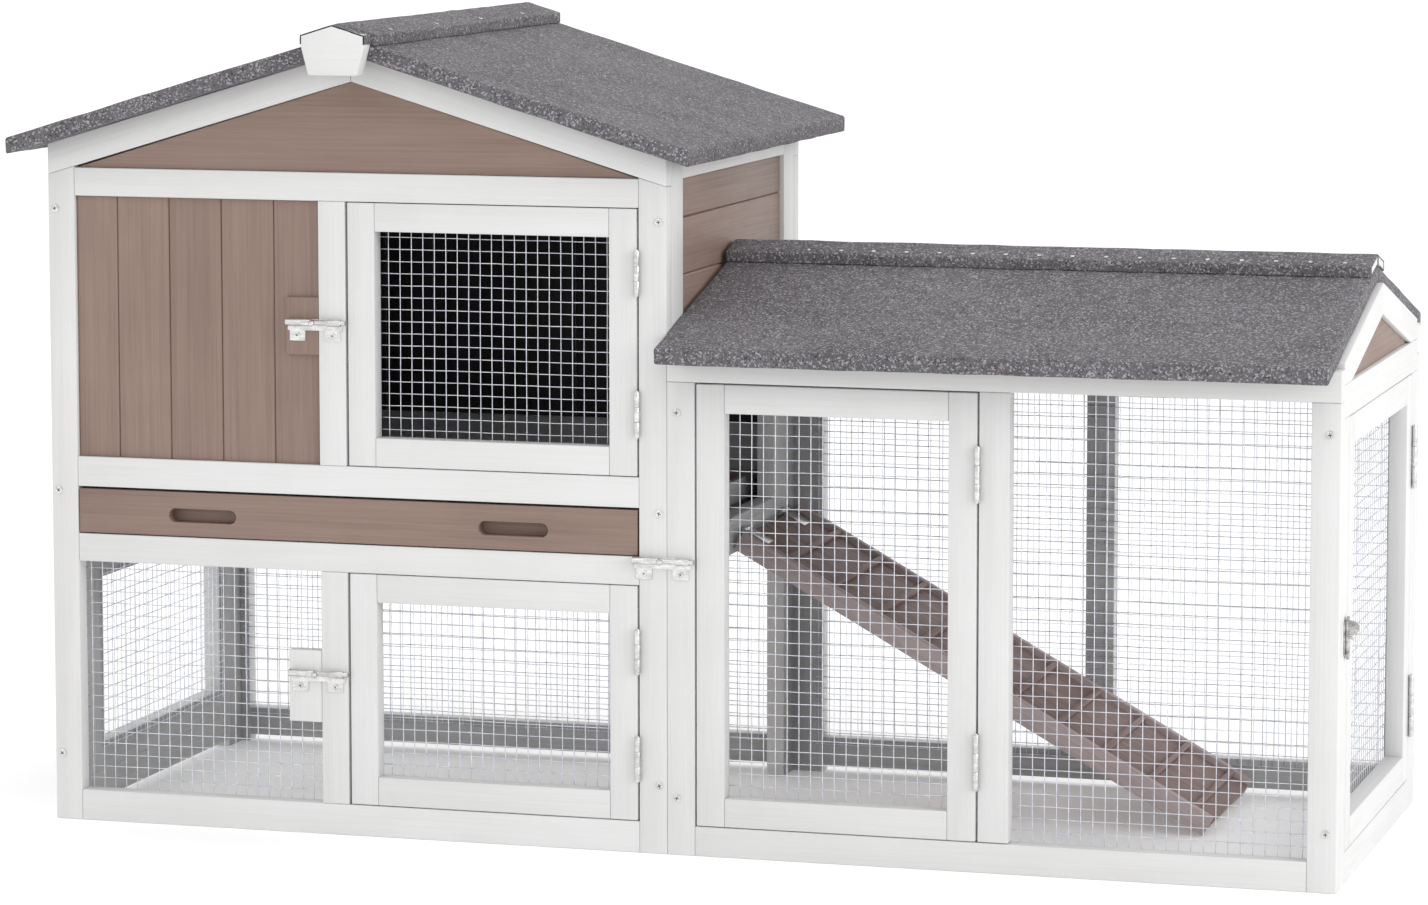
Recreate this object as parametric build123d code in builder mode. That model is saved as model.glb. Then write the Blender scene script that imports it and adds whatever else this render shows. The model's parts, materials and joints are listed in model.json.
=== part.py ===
"""Two-storey rabbit hutch with an attached run, built as its separate timber, wire and metal pieces.

Millimetres, +Z up. The hutch stands on Z = 0. +X runs from the house towards the end of the run, and
+Y runs from the front towards the back. The origin is on the ground under the middle of the whole hutch.
"""
import os
from math import atan, cos, degrees, radians, sin

from build123d import *

os.makedirs("parts", exist_ok=True)

# ---- driving dimensions ----
house_width = 690
run_length = 702
depth = 508
stock = 20                    # thickness of every frame, front to back
stile = 30                    # face width of the narrow uprights
side_stile = 40               # face width of the uprights in the side frames
inner_stile = 26              # face width of the uprights of the inner mesh frame on the left
rail = 33                     # face height of the bottom rails
back_rail_low = 8             # the bottom rails at the back and the left are this far off the ground
joint_line = 0.2              # hairline between two glued timbers
fit_gap = 0.3                 # gap between a fixed and a moving piece

lower_opening_top = 282       # underside of the rail below the tray
tray_slot_low = 312
tray_slot_high = 363
upper_opening_low = 395       # top of the rail above the tray
upper_opening_top = 675
front_top = 705               # top of the rail below the gable
side_top = 729                # top of the house side frames
side_board_top = 702

house_roof_slope = 0.30       # rise over run
house_ridge_under = 833.5     # underside of the roof at the ridge
house_eave_reach = 379        # from the ridge to the eave, level
house_rafter = 32.5           # height of a rafter, measured upright
roof_thickness = 17.5         # measured upright
roof_front_overhang = 34
roof_back_overhang = 74
finial_thickness = 20
finial_drop = 1               # its peak is this far under the cap's
finial_side = 11              # height of its upright sides
finial_height = 42            # from its shoulders to its foot
finial_half_width = 35
finial_foot = 27              # half the width of its foot
cap_thickness = 12
cap_half_width = 40

run_roof_slope = 0.255
run_ridge_under = 594
run_eave_overhang = 46
run_rafter = 33
run_roof_end_gap = 6          # the run roof stops this far short of the end face
run_door_low = 32
run_top_rail_low = 496
run_top_rail_high = 528
end_door_top = 478
end_rail_top = 512

gable_board_gap = 7           # the gable board stops this far short of the point of its opening
board_recess = 5              # boards lie this far behind the face of the frame
board_thickness = 11
board_pitch = 59.3
first_board = 77              # right edge of the leftmost board at the front
course = 60                   # height of one board in a side wall
groove = 1.5                  # chamfer along the edge of a board

middle_stile_left = 307
run_middle_stile_left = 1022
run_middle_stile = 32
door_gap = 2.8                # gap on the latch side of a door
hinge_gap = 2.2               # gap on the hinge side, filled by the two leaves
end_post_back = 50            # inner edge of the upright that the end door shuts against
end_door_front = 52
end_door_back = 458

wire_pitch = 50.8             # every fourth wire of a half-inch welded mesh
wire_width = 1.6
wire_sheet = 1.2
wire_lap = 8                  # the mesh overlaps the back of its frame by this much

pin_radius = 1.5
pin_clearance = 0.05
knuckle_radius = 3
leaf = 0.8                    # thickness of a hinge leaf
pin_out = 3.4                 # the hinge pins stand this far in front of the face
leaf_depth = 18               # how far a leaf reaches back between door and frame
leaf_lug = 3.2                # bridge from the moving leaf to its knuckle
pin_tail = 1                  # the pin shows this much at each end

bolt_rod_radius = 2.8
bolt_barrel_radius = 4
bolt_barrel_out = 5.4
bolt_barrel_length = 61.6
bolt_rod_length = 62
bolt_slot = (28, 46.6)        # the knob slides in this gap between the two barrels
plate_thickness = 1.2
plate_height = 12
plate_drop = 3                # the plate's middle is this far under the rod
tab_in = 11                   # middle of a screw tab, from the end of the plate
tab_width = 17.5
tab_drop = 14                 # middle of a screw tab, under the rod
bolt_bridge = 3.5             # height of the web between plate and barrel
bolt_knob_radius = 3.2
bolt_stem_radius = 2
bolt_stem = 8
bolt_start = 4                # the rod starts this far inside the barrel
bolt_short = 1.3              # and stops this far short of the door
bolt_knob_out = 17

ramp_angle = 29
ramp_length = 596
ramp_front = 243
ramp_width = 232
ramp_pivot_x = 695
ramp_pivot_z = 305
ramp_board = 10
ramp_edge_drop = 17           # the side strips reach this far under the pivot
ramp_edge_rise = 6
ramp_edge = 10
cleat_pitch = 57
cleat = 7
cleat_height = 6

doorway_front = 235
doorway_back = 408
doorway_low = 322
doorway_top = 500

screw_radius = 4
screw_head = 1.2
nail_radius = 2.4
nail_head = 0.8
nail_from_edge = 9            # nails stand this far in from the lower edge of a cap
nail_pitch = 36
house_nail_pitch = 144

# ---- places worked out from them ----
total = house_width + run_length
ridge_x = house_width / 2
ridge_y = depth / 2
roof_front = -roof_front_overhang
roof_back = depth + roof_back_overhang
finial_front = roof_front - finial_thickness
catch_reach = 14.6            # the turn catch stands this far out of the end face
# the origin is under the middle of the hutch: halfway from the left eave to the end door's catch,
# and halfway from the front of the finial to the back of the house roof
middle_x = (ridge_x - house_eave_reach + total + catch_reach) / 2
middle_y = (finial_front + roof_back) / 2


def house_under(x):
    """Height of the underside of the house roof above this x."""
    return house_ridge_under - house_roof_slope * abs(x - ridge_x)


def run_under(y):
    """Height of the underside of the run roof above this y."""
    return run_ridge_under - run_roof_slope * abs(y - ridge_y)


def stick(x0, x1, y0, y1, z0, z1):
    """Add one sawn timber or plate, given by its two faces along each axis."""
    with Locations(((x0 + x1) / 2 - middle_x, (y0 + y1) / 2 - middle_y, (z0 + z1) / 2)):
        Box(x1 - x0, y1 - y0, z1 - z0)


def board(x0, x1, y0, y1, z0, z1, along):
    """Add one wall board with a small bevel on its long edges; along is the axis of its grain."""
    spot = Location(((x0 + x1) / 2 - middle_x, (y0 + y1) / 2 - middle_y, (z0 + z1) / 2))
    with BuildPart(mode=Mode.PRIVATE) as plank:
        Box(x1 - x0 - joint_line, y1 - y0 - joint_line, z1 - z0 - joint_line)
        chamfer(plank.edges().filter_by(along), groove)
    with Locations(spot):
        add(plank.part)


def slab_xz(points, y0, y1):
    """Add a flat piece whose outline is seen from the front, from y0 to y1."""
    with BuildSketch(Plane.XZ.offset(middle_y - y1)) as outline:
        with Locations((-middle_x, 0)):
            Polygon(*points, align=None)
    extrude(outline.sketch, amount=y1 - y0)


def slab_yz(points, x0, x1):
    """Add a flat piece whose outline is seen from the end of the run, from x0 to x1."""
    with BuildSketch(Plane.YZ.offset(x0 - middle_x)) as outline:
        with Locations((-middle_y, 0)):
            Polygon(*points, align=None)
    extrude(outline.sketch, amount=x1 - x0)


def wire_front(x0, x1, z0, z1, y):
    """Add a sheet of welded mesh in a plane that faces the front, its near face at y."""
    width = x1 - x0
    height = z1 - z0
    with BuildSketch(Plane.XZ.offset(middle_y - y - wire_sheet)) as outline:
        with Locations(((x0 + x1) / 2 - middle_x, (z0 + z1) / 2)):
            Rectangle(width, height)
            openings = int(width / wire_pitch), int(height / wire_pitch)
            with GridLocations(wire_pitch, wire_pitch, *openings):
                Rectangle(wire_pitch - wire_width, wire_pitch - wire_width, mode=Mode.SUBTRACT)
    extrude(outline.sketch, amount=wire_sheet)


def wire_side(y0, y1, z0, z1, x):
    """Add a sheet of welded mesh in a plane that faces sideways, its near face at x."""
    width = y1 - y0
    height = z1 - z0
    with BuildSketch(Plane.YZ.offset(x - middle_x)) as outline:
        with Locations(((y0 + y1) / 2 - middle_y, (z0 + z1) / 2)):
            Rectangle(width, height)
            openings = int(width / wire_pitch), int(height / wire_pitch)
            with GridLocations(wire_pitch, wire_pitch, *openings):
                Rectangle(wire_pitch - wire_width, wire_pitch - wire_width, mode=Mode.SUBTRACT)
    extrude(outline.sketch, amount=wire_sheet)


def place(x, y, z, turn):
    """A local frame at a point, turned about the upright."""
    return Location((x - middle_x, y - middle_y, z), (0, 0, turn))


def tube(outer, bore, length):
    """Add an upright tube on the current place."""
    with BuildPart(mode=Mode.PRIVATE) as ring:
        Cylinder(outer, length)
        Cylinder(bore, length, mode=Mode.SUBTRACT)
    add(ring.part)


def door_hinge_fixed(x, y, z0, z1, turn):
    """Add the frame's half of a butt hinge: a leaf, the end knuckles and the pin."""
    knuckle = (z1 - z0) / 3
    with Locations(place(x, y, (z0 + z1) / 2, turn)):
        with Locations((hinge_gap / 2 - leaf / 2, pin_out + leaf_depth / 2, 0)):
            Box(leaf, leaf_depth, z1 - z0)
        for side in (-1, 1):
            with Locations((0, 0, side * knuckle)):
                Cylinder(knuckle_radius, knuckle - fit_gap)
            with Locations((hinge_gap / 2 - leaf / 2, pin_out / 2 + 0.5, side * knuckle)):
                Box(leaf, pin_out, knuckle - fit_gap)
        Cylinder(pin_radius, z1 - z0 + 2 * pin_tail)


def door_hinge_moving(x, y, z0, z1, turn):
    """Add the door's half of a butt hinge: a leaf and the middle knuckle with its bore."""
    knuckle = (z1 - z0) / 3 - fit_gap
    with Locations(place(x, y, (z0 + z1) / 2, turn)):
        with Locations((leaf / 2 - hinge_gap / 2, pin_out + leaf_depth / 2, 0)):
            Box(leaf, leaf_depth, z1 - z0)
        with Locations((leaf / 2 - hinge_gap / 2, pin_out, 0)):
            Box(leaf, leaf_lug, knuckle)
        tube(knuckle_radius, pin_radius + pin_clearance, knuckle)


bolt_tabs = (tab_in, bolt_barrel_length - tab_in)


def bolt_body(x, y, z, turn):
    """Add the fixed half of a barrel bolt; the local frame lies on the face, at the barrel's start."""
    with Locations(place(x, y, z, turn)):
        with Locations((bolt_barrel_length / 2, -plate_thickness / 2, -plate_drop)):
            Box(bolt_barrel_length, plate_thickness, plate_height)
        for tab in bolt_tabs:
            with Locations((tab, -plate_thickness / 2, -tab_drop)):
                Box(tab_width, plate_thickness, plate_height)
        for start, end in ((0, bolt_slot[0]), (bolt_slot[1], bolt_barrel_length)):
            with Locations(Location(((start + end) / 2, -bolt_barrel_out, 0), (0, 90, 0))):
                tube(bolt_barrel_radius, bolt_rod_radius + pin_clearance, end - start)
            with Locations(((start + end) / 2, -plate_thickness * 4 / 3, 0)):
                Box(end - start, plate_thickness, bolt_bridge)


def bolt_rod(x, y, z, turn):
    """Add the sliding rod of a barrel bolt with its knob, drawn back from the door."""
    knob = bolt_slot[0] + bolt_knob_radius
    with Locations(place(x, y, z, turn)):
        with Locations(Location((bolt_start + bolt_rod_length / 2, -bolt_barrel_out, 0), (0, 90, 0))):
            Cylinder(bolt_rod_radius, bolt_rod_length)
        with Locations(Location((knob, -bolt_barrel_out - bolt_stem / 2, 0), (90, 0, 0))):
            Cylinder(bolt_stem_radius, bolt_stem)
        with Locations((knob, bolt_knob_radius - bolt_knob_out, 0)):
            Sphere(bolt_knob_radius)


def screw_front(x, z):
    """Add a screw head on the front face."""
    with Locations(Location((x - middle_x, -screw_head / 2 - middle_y, z), (90, 0, 0))):
        Cylinder(screw_radius, screw_head)


def door_frame(x0, x1, z0, z1):
    """Add the two stiles and two rails of a door on the front."""
    stick(x0, x0 + stile, 0, stock, z0, z1)
    stick(x1 - stile, x1, 0, stock, z0, z1)
    for bottom in (z0, z1 - stile):
        stick(x0 + stile + joint_line, x1 - stile - joint_line, 0, stock, bottom, bottom + stile)


def keep(piece, name):
    """Label a finished piece and write it out."""
    piece.part.label = name
    export_step(piece.part, f"parts/{name}.step")


# ---- house: front frame ----
inner_left = stile + joint_line
inner_right = house_width - stile - joint_line
side_in = stock + joint_line               # where the side frames begin behind the front frame
side_out = depth - stock - joint_line
rafter_low = house_ridge_under - house_rafter


def house_uprights(y0):
    """Add the two corner uprights of a gable frame, their tops cut to the rafter."""
    for outer, inner in ((0, stile), (house_width, house_width - stile)):
        points = [(outer, 0), (inner, 0), (inner, house_under(inner) - house_rafter - joint_line),
                  (outer, house_under(outer) - house_rafter - joint_line)]
        slab_xz(points, y0, y0 + stock)


def rafter_pair(y0):
    """Add the pair of rafters, meeting at the ridge."""
    for side in (-1, 1):
        top = ridge_x + side * joint_line
        foot = ridge_x + side * ridge_x
        points = [(top, house_under(top)), (foot, house_under(foot)),
                  (foot, house_under(foot) - house_rafter), (top, house_under(top) - house_rafter)]
        slab_xz(points, y0, y0 + stock)


def house_gable_board(y0):
    """Add the triangular board under the rafters, its front face at y0."""
    half = (rafter_low - front_top) / house_roof_slope - gable_board_gap
    points = [(ridge_x - half, front_top + joint_line), (ridge_x + half, front_top + joint_line),
              (ridge_x, rafter_low - joint_line)]
    slab_xz(points, y0, y0 + board_thickness)


with BuildPart() as house_front_stiles:
    house_uprights(0)
    stick(middle_stile_left, middle_stile_left + stile, 0, stock,
          upper_opening_low + joint_line, upper_opening_top - joint_line)
    stick(middle_stile_left, middle_stile_left + stile, 0, stock,
          rail + joint_line, lower_opening_top - joint_line)
keep(house_front_stiles, "house_front_stiles")

with BuildPart() as house_front_rails:
    stick(inner_left, inner_right, 0, stock, 0, rail)
    stick(inner_left, inner_right, 0, stock, lower_opening_top, tray_slot_low)
    stick(inner_left, inner_right, 0, stock, tray_slot_high, upper_opening_low)
    stick(inner_left, inner_right, 0, stock, upper_opening_top, front_top)
keep(house_front_rails, "house_front_rails")

with BuildPart() as house_rafters:
    for face in (0, depth - stock):
        rafter_pair(face)
keep(house_rafters, "house_rafters")

with BuildPart() as house_front_gable_board:
    house_gable_board(board_recess)
keep(house_front_gable_board, "house_front_gable_board")

front_joints = [stile, *(first_board + number * board_pitch for number in range(4)), middle_stile_left]
with BuildPart() as house_front_boards:
    for left, right in zip(front_joints, front_joints[1:]):
        board(left, right, board_recess, board_recess + board_thickness,
              upper_opening_low, upper_opening_top, Axis.Z)
keep(house_front_boards, "house_front_boards")

# ---- house: back frame ----
back_face = depth - stock
back_rail_top = back_rail_low + rail - 1
with BuildPart() as house_back_frame:
    house_uprights(back_face)
    stick(inner_left, inner_right, back_face, depth, back_rail_low, back_rail_top)
    stick(inner_left, inner_right, back_face, depth, lower_opening_top, upper_opening_low)
    stick(inner_left, inner_right, back_face, depth, upper_opening_top, front_top)
keep(house_back_frame, "house_back_frame")

back_board_count = 11
back_board_width = (house_width - 2 * stile) / back_board_count
with BuildPart() as house_back_boards:
    house_gable_board(depth - board_recess - board_thickness)
    for number in range(back_board_count):
        left = stile + number * back_board_width
        board(left, left + back_board_width, depth - board_recess - board_thickness, depth - board_recess,
              upper_opening_low, upper_opening_top, Axis.Z)
keep(house_back_boards, "house_back_boards")

# ---- house: side frames ----
side_inner_front = stock + side_stile + joint_line
side_inner_back = depth - stock - side_stile - joint_line
right_face = house_width - stock

with BuildPart() as house_left_frame:
    stick(0, stock, side_in, stock + side_stile, 0, side_top)
    stick(0, stock, depth - stock - side_stile, side_out, 0, side_top)
    for low, high in ((back_rail_low, back_rail_top), (lower_opening_top, upper_opening_low),
                      (side_board_top, side_top)):
        stick(0, stock, side_inner_front, side_inner_back, low, high)
    # a lighter frame inside the lower half carries the mesh
    low = back_rail_top + joint_line
    high = lower_opening_top - joint_line
    stick(0, stock, side_inner_front, side_inner_front + inner_stile, low, high)
    stick(0, stock, side_inner_back - inner_stile, side_inner_back, low, high)
    for bottom in (low, high - stile):
        stick(0, stock, side_inner_front + inner_stile + joint_line,
              side_inner_back - inner_stile - joint_line, bottom, bottom + stile)
keep(house_left_frame, "house_left_frame")

with BuildPart() as house_right_frame:
    stick(right_face, house_width, side_in, stock + side_stile, 0, side_top)
    stick(right_face, house_width, depth - stock - side_stile, side_out, 0, side_top)
    stick(right_face, house_width, side_inner_front, side_inner_back, lower_opening_top, tray_slot_low)
    stick(right_face, house_width, side_inner_front, side_inner_back, side_board_top, side_top)
    # the upright beside the doorway and the sill under it
    stick(right_face, house_width, doorway_back, side_inner_back, tray_slot_low + joint_line, doorway_top)
    stick(right_face, house_width, doorway_front, doorway_back - joint_line,
          tray_slot_low + joint_line, doorway_low)
keep(house_right_frame, "house_right_frame")

top_course = 660
side_courses = [side_board_top, top_course, top_course - course, top_course - 2 * course, doorway_top]
lower_courses = [doorway_top, doorway_top - course, doorway_top - 2 * course, tray_slot_low]
left_courses = [side_board_top, *(top_course - number * course for number in range(5)), upper_opening_low]
outer_board = stock - board_recess - board_thickness
with BuildPart() as house_right_boards:
    for high, low in zip(side_courses, side_courses[1:]):
        board(house_width - stock + outer_board, house_width - board_recess, stock + side_stile,
              depth - stock - side_stile, low, high, Axis.Y)
    for high, low in zip(lower_courses, lower_courses[1:]):
        board(house_width - stock + outer_board, house_width - board_recess, stock + side_stile,
              doorway_front, low, high, Axis.Y)
keep(house_right_boards, "house_right_boards")

with BuildPart() as house_left_boards:
    for high, low in zip(left_courses, left_courses[1:]):
        board(board_recess, board_recess + board_thickness, stock + side_stile,
              depth - stock - side_stile, low, high, Axis.Y)
keep(house_left_boards, "house_left_boards")

# ---- house: roof ----


def pitched(low_line, thickness, near, far, ridge, slope):
    """Outline of a sloping slab from the ridge outwards, as level distance and height."""
    return [(ridge + near, low_line - slope * abs(near)), (ridge + far, low_line - slope * abs(far)),
            (ridge + far, low_line - slope * abs(far) + thickness),
            (ridge + near, low_line - slope * abs(near) + thickness)]


with BuildPart() as house_roof_left:
    outline = pitched(house_ridge_under + joint_line, roof_thickness, -joint_line, -house_eave_reach,
                      ridge_x, house_roof_slope)
    slab_xz(outline, roof_front, roof_back)
keep(house_roof_left, "house_roof_left")

with BuildPart() as house_roof_right:
    outline = pitched(house_ridge_under + joint_line, roof_thickness, joint_line, house_eave_reach,
                      ridge_x, house_roof_slope)
    slab_xz(outline, roof_front, roof_back)
keep(house_roof_right, "house_roof_right")

with BuildPart() as house_ridge_cap:
    cap_low = house_ridge_under + roof_thickness + 2 * joint_line
    for side in (-1, 1):
        outline = pitched(cap_low, cap_thickness, side * joint_line, side * cap_half_width,
                          ridge_x, house_roof_slope)
        slab_xz(outline, roof_front, roof_back)
keep(house_ridge_cap, "house_ridge_cap")

with BuildPart() as ridge_finial:
    peak = house_ridge_under + roof_thickness + cap_thickness - finial_drop
    shoulder = peak - house_roof_slope * finial_half_width
    half_outline = [(finial_half_width, shoulder), (finial_half_width, shoulder - finial_side),
                    (finial_foot, shoulder - finial_height)]
    points = [(ridge_x, peak), *((ridge_x + across, height) for across, height in half_outline),
              *((ridge_x - across, height) for across, height in reversed(half_outline))]
    slab_xz(points, finial_front, roof_front - joint_line)
keep(ridge_finial, "ridge_finial")

# ---- run: front and back frames ----
run_left = house_width
run_inner_left = run_left + stile
run_right_post = total - stile
with BuildPart() as run_front_stiles:
    stick(run_left + joint_line, run_inner_left, 0, stock, 0, run_top_rail_low - joint_line)
    stick(run_middle_stile_left, run_middle_stile_left + run_middle_stile, 0, stock,
          run_door_low, run_top_rail_low - joint_line)
    stick(run_right_post, total, 0, stock, 0, run_top_rail_low - joint_line)
keep(run_front_stiles, "run_front_stiles")

with BuildPart() as run_front_rails:
    stick(run_inner_left + joint_line, run_right_post - joint_line, 0, stock, 0, run_door_low - 1)
    stick(run_left + joint_line, total, 0, stock, run_top_rail_low, run_top_rail_high)
keep(run_front_rails, "run_front_rails")

run_back_left = run_inner_left + 5         # inner edge of the back left upright
run_back_middle = run_middle_stile_left + 5
rail_line = back_rail_top + joint_line
with BuildPart() as run_back_frame:
    for left, right, foot in ((run_left + joint_line, run_back_left, 0), (run_right_post, total, 0),
                              (run_back_middle, run_back_middle + run_middle_stile, rail_line)):
        stick(left, right, back_face, depth, foot, run_top_rail_low - joint_line)
    stick(run_back_left + joint_line, run_right_post - joint_line, back_face, depth,
          back_rail_low, back_rail_top)
    stick(run_left + joint_line, total, back_face, depth, run_top_rail_low, run_top_rail_high)
keep(run_back_frame, "run_back_frame")

# ---- run: end frame ----
end_face = total - stock
with BuildPart() as run_end_frame:
    for front, back in ((side_in, end_post_back), (end_door_back + hinge_gap, side_out)):
        stick(end_face, total, front, back, 0, end_door_top - joint_line)
    stick(end_face, total, end_post_back + joint_line, end_door_back + hinge_gap - joint_line, 0, rail - 1)
    stick(end_face, total, side_in, side_out, end_door_top, end_rail_top)
keep(run_end_frame, "run_end_frame")

with BuildPart() as run_end_rafters:
    for side in (-1, 1):
        foot = ridge_y + side * (ridge_y - side_in)
        lap = (run_ridge_under - run_rafter - end_rail_top) / run_roof_slope
        top = ridge_y + side * joint_line
        points = [(top, run_under(top)), (foot, run_under(foot)), (foot, end_rail_top + joint_line),
                  (ridge_y + side * lap, end_rail_top + joint_line), (top, run_under(top) - run_rafter)]
        slab_yz(points, end_face, total)
keep(run_end_rafters, "run_end_rafters")

with BuildPart() as run_end_gable_board:
    half = (run_ridge_under - run_rafter - end_rail_top) / run_roof_slope - 2
    points = [(ridge_y - half, end_rail_top + joint_line), (ridge_y + half, end_rail_top + joint_line),
              (ridge_y, run_ridge_under - run_rafter - 2 * joint_line)]
    slab_yz(points, end_face + outer_board, total - board_recess)
keep(run_end_gable_board, "run_end_gable_board")

# ---- run: roof ----
run_roof_left = house_width + joint_line
run_roof_right = total - run_roof_end_gap
run_reach = ridge_y + run_eave_overhang
with BuildPart() as run_roof_front:
    outline = pitched(run_ridge_under + joint_line, roof_thickness, -joint_line, -run_reach,
                      ridge_y, run_roof_slope)
    slab_yz(outline, run_roof_left, run_roof_right)
keep(run_roof_front, "run_roof_front")

with BuildPart() as run_roof_back:
    outline = pitched(run_ridge_under + joint_line, roof_thickness, joint_line, run_reach,
                      ridge_y, run_roof_slope)
    slab_yz(outline, run_roof_left, run_roof_right)
keep(run_roof_back, "run_roof_back")

with BuildPart() as run_ridge_cap:
    for side in (-1, 1):
        outline = pitched(run_ridge_under + roof_thickness + 2 * joint_line, cap_thickness,
                          side * joint_line, side * cap_half_width, ridge_y, run_roof_slope)
        slab_yz(outline, run_roof_left, run_roof_right)
keep(run_ridge_cap, "run_ridge_cap")

# ---- fixed welded mesh ----
wire_y = stock + joint_line
with BuildPart() as house_front_mesh:
    wire_front(stile - wire_lap, middle_stile_left + wire_lap, rail - wire_lap,
               lower_opening_top + wire_lap, wire_y)
keep(house_front_mesh, "house_front_mesh")

with BuildPart() as house_back_mesh:
    wire_front(stile - wire_lap, house_width - stile + wire_lap, back_rail_top - wire_lap,
               lower_opening_top + wire_lap, back_face - joint_line - wire_sheet)
keep(house_back_mesh, "house_back_mesh")

with BuildPart() as house_left_mesh:
    wire_in = stock + side_stile + inner_stile - wire_lap
    wire_side(wire_in, depth - wire_in,
              back_rail_top + stile - wire_lap, lower_opening_top - stile + wire_lap, stock + joint_line)
keep(house_left_mesh, "house_left_mesh")

with BuildPart() as run_front_mesh:
    wire_front(run_middle_stile_left + run_middle_stile - wire_lap, run_right_post + wire_lap,
               rail - wire_lap, run_top_rail_low + wire_lap, wire_y)
keep(run_front_mesh, "run_front_mesh")

with BuildPart() as run_back_mesh:
    wire_front(run_inner_left - 3, run_right_post + wire_lap, back_rail_top - wire_lap,
               run_top_rail_low + wire_lap, back_face - joint_line - wire_sheet)
keep(run_back_mesh, "run_back_mesh")

# ---- doors on the front: left edge, pin, low edge, high edge, hinge spans ----
front_doors = {
    "upper_door": (middle_stile_left + stile + door_gap, house_width - stile,
                   upper_opening_low + 1, upper_opening_top - 1, ((437, 485), (584, 631))),
    "lower_door": (middle_stile_left + stile + door_gap, house_width - stile,
                   rail + 1, lower_opening_top - 1, ((76, 123), (189, 236))),
    "run_door": (run_inner_left + door_gap - 0.8, run_middle_stile_left,
                 run_door_low, run_top_rail_low - 1.5, ((86, 144), (383, 440))),
}
for name, (left, right, low, high, spans) in front_doors.items():
    pin_x = right - hinge_gap / 2
    with BuildPart() as frame:
        door_frame(left, right - hinge_gap, low, high)
    keep(frame, f"{name}_frame")
    with BuildPart() as sheet:
        wire_front(left + stile - wire_lap, right - hinge_gap - stile + wire_lap,
                   low + stile - wire_lap, high - stile + wire_lap, wire_y)
    keep(sheet, f"{name}_mesh")
    with BuildPart() as leaves:
        for z0, z1 in spans:
            door_hinge_moving(pin_x, -pin_out, z0, z1, 0)
    keep(leaves, f"{name}_hinge_leaves")

# ---- door in the end of the run ----
end_low = rail
end_spans = ((80, 148), (353, 421))
end_pin_x = total + pin_out
end_pin_y = end_door_back + hinge_gap / 2
with BuildPart() as end_door_frame:
    for front, back in ((end_door_front, end_door_front + stile), (end_door_back - stile, end_door_back)):
        stick(end_face, total, front, back, end_low, end_door_top - 1)
    for bottom in (end_low, end_door_top - 1 - stile):
        stick(end_face, total, end_door_front + stile + joint_line, end_door_back - stile - joint_line,
              bottom, bottom + stile)
keep(end_door_frame, "end_door_frame")

with BuildPart() as end_door_mesh:
    wire_side(end_door_front + stile - wire_lap, end_door_back - stile + wire_lap,
              end_low + stile - wire_lap, end_door_top - 1 - stile + wire_lap,
              end_face - joint_line - wire_sheet)
keep(end_door_mesh, "end_door_mesh")

with BuildPart() as end_door_hinge_leaves:
    for z0, z1 in end_spans:
        door_hinge_moving(end_pin_x, end_pin_y, z0, z1, 90)
keep(end_door_hinge_leaves, "end_door_hinge_leaves")

# ---- ramp ----
# its local frame: X down the slope, Z square to the boards, at the hinge pin
run_slope, rise_slope = cos(radians(ramp_angle)), sin(radians(ramp_angle))
ramp_plane = Plane(origin=(ramp_pivot_x - middle_x, 0, ramp_pivot_z),
                   x_dir=(run_slope, 0, -rise_slope), z_dir=(rise_slope, 0, run_slope))
ramp_start = 5                # the boards start this far down the slope from the pin


def ramp_stick(d0, d1, y0, y1, n0, n1):
    """Add a timber of the ramp, given along the slope, across it and square to it."""
    with Locations(Location(ramp_plane)):
        with Locations(((d0 + d1) / 2, (y0 + y1) / 2 - middle_y, (n0 + n1) / 2)):
            Box(d1 - d0, y1 - y0, n1 - n0)


board_top = -0.6              # the boards' faces lie this far under the line of the pins
deck_front = ramp_front + ramp_edge + joint_line
deck_back = ramp_front + ramp_width - ramp_edge - joint_line
with BuildPart() as ramp_deck:
    ramp_stick(ramp_start, ramp_length, deck_front, deck_back, board_top - ramp_board, board_top)
keep(ramp_deck, "ramp_deck")

with BuildPart() as ramp_side_strips:
    for front in (ramp_front, ramp_front + ramp_width - ramp_edge):
        ramp_stick(ramp_start, ramp_length, front, front + ramp_edge, -ramp_edge_drop, ramp_edge_rise)
keep(ramp_side_strips, "ramp_side_strips")

with BuildPart() as ramp_cleats:
    for number in range(1, int(ramp_length / cleat_pitch) + 1):
        along = number * cleat_pitch
        ramp_stick(along, along + cleat, deck_front, deck_back,
                   board_top + joint_line, board_top + cleat_height)
keep(ramp_cleats, "ramp_cleats")

ramp_hinges = (ramp_front + 40, ramp_front + ramp_width - 40)
ramp_leaf = 30                # length of a hinge leaf
ramp_leaf_half = 14           # half its width
ramp_knuckle_radius = 2.5
ramp_knuckle = 10
with BuildPart() as ramp_hinge_leaves:
    for across in ramp_hinges:
        for start, end, half in ((2, ramp_start, ramp_knuckle / 2), (4, ramp_leaf, ramp_leaf_half)):
            ramp_stick(start, end, across - half, across + half, board_top + joint_line,
                       board_top + joint_line + leaf)
        with Locations(Location(ramp_plane)):
            with Locations(Location((0, across - middle_y, 0), (90, 0, 0))):
                tube(ramp_knuckle_radius, pin_radius + pin_clearance, ramp_knuckle)
keep(ramp_hinge_leaves, "ramp_hinge_leaves")


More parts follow.
